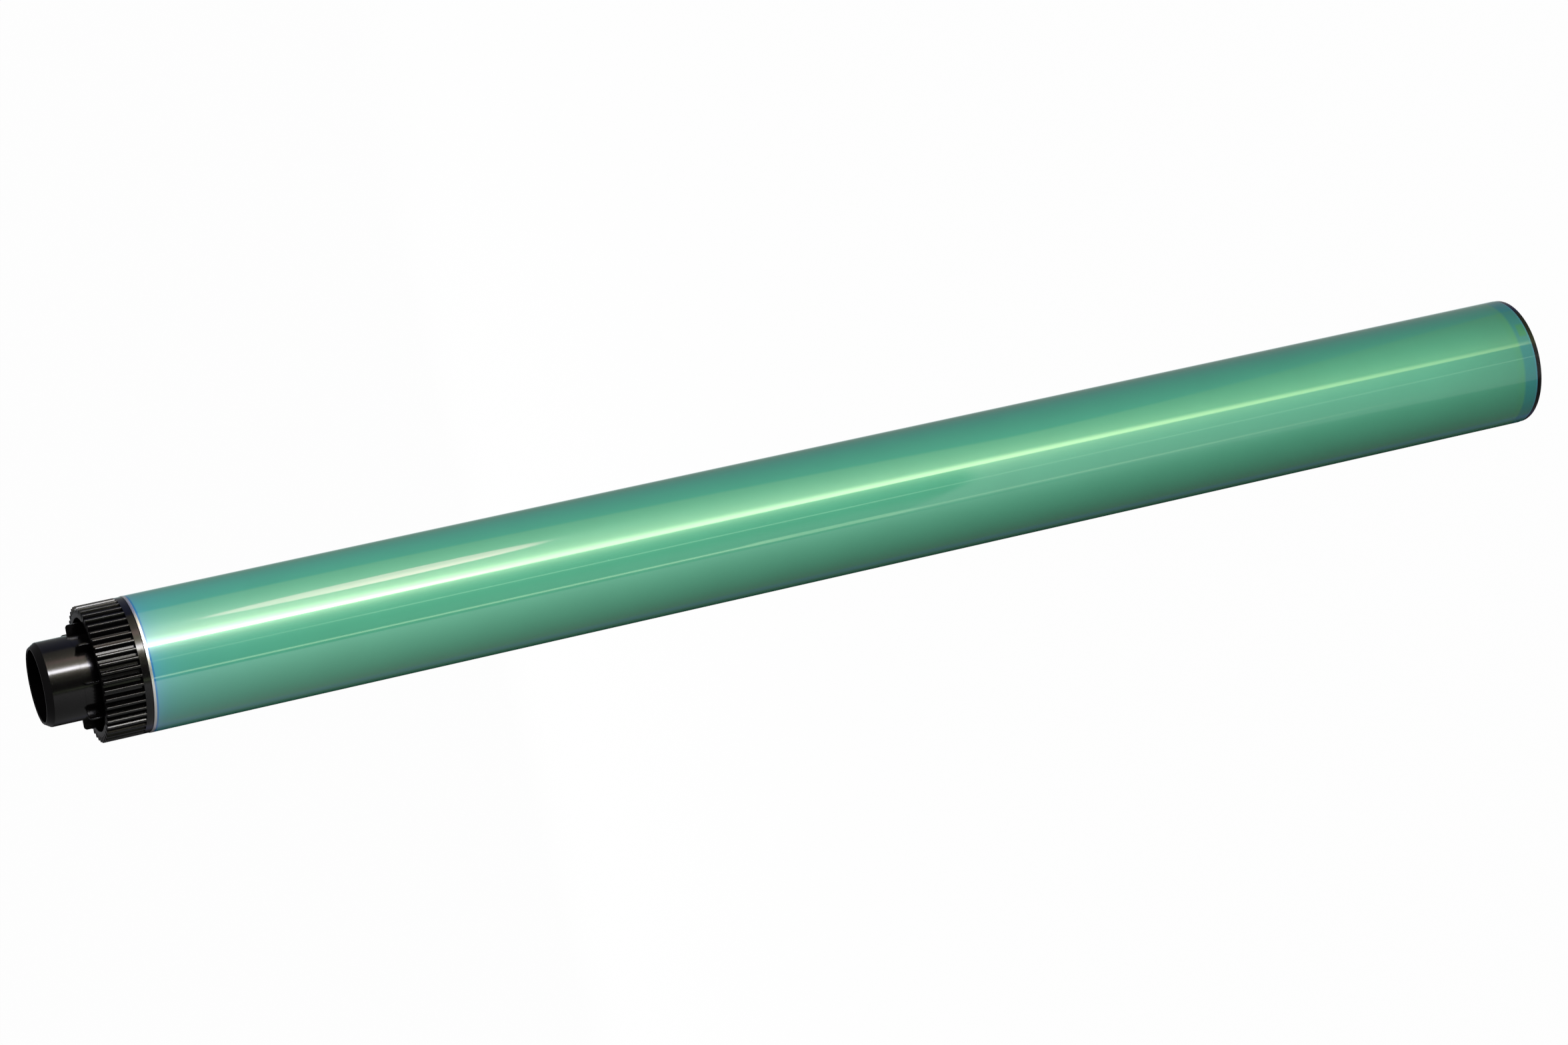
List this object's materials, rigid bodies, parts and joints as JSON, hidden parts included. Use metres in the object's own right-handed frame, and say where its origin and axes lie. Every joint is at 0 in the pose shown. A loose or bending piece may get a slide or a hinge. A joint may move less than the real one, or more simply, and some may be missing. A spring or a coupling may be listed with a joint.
{
  "type": "photoconductor drum",
  "caption": "Long thin coated tube with a geared flange and hollow journal at one end and a plain flange at the other.",
  "frame": {"origin": "centre of the plain flange's outer face, on which the drum stands", "axes": "+Z along the drum's axis towards the gear and journal, +X through a gear tooth and a fin of the journal"},
  "size_m": [0.03, 0.03, 0.3652],
  "materials": {
    "coated_tube": "glossy green coating on drawn aluminium, with a bare ring at the gear end",
    "black_acetal": "black moulded acetal with a fine spark-eroded grain",
    "spring_bronze": "bright rolled phosphor bronze strip"
  },
  "bodies": {
    "root": {"drum_tube": "coated_tube", "drive_flange": "black_acetal", "end_flange": "black_acetal", "ground_plate": "spring_bronze"}
  },
  "joints": []
}
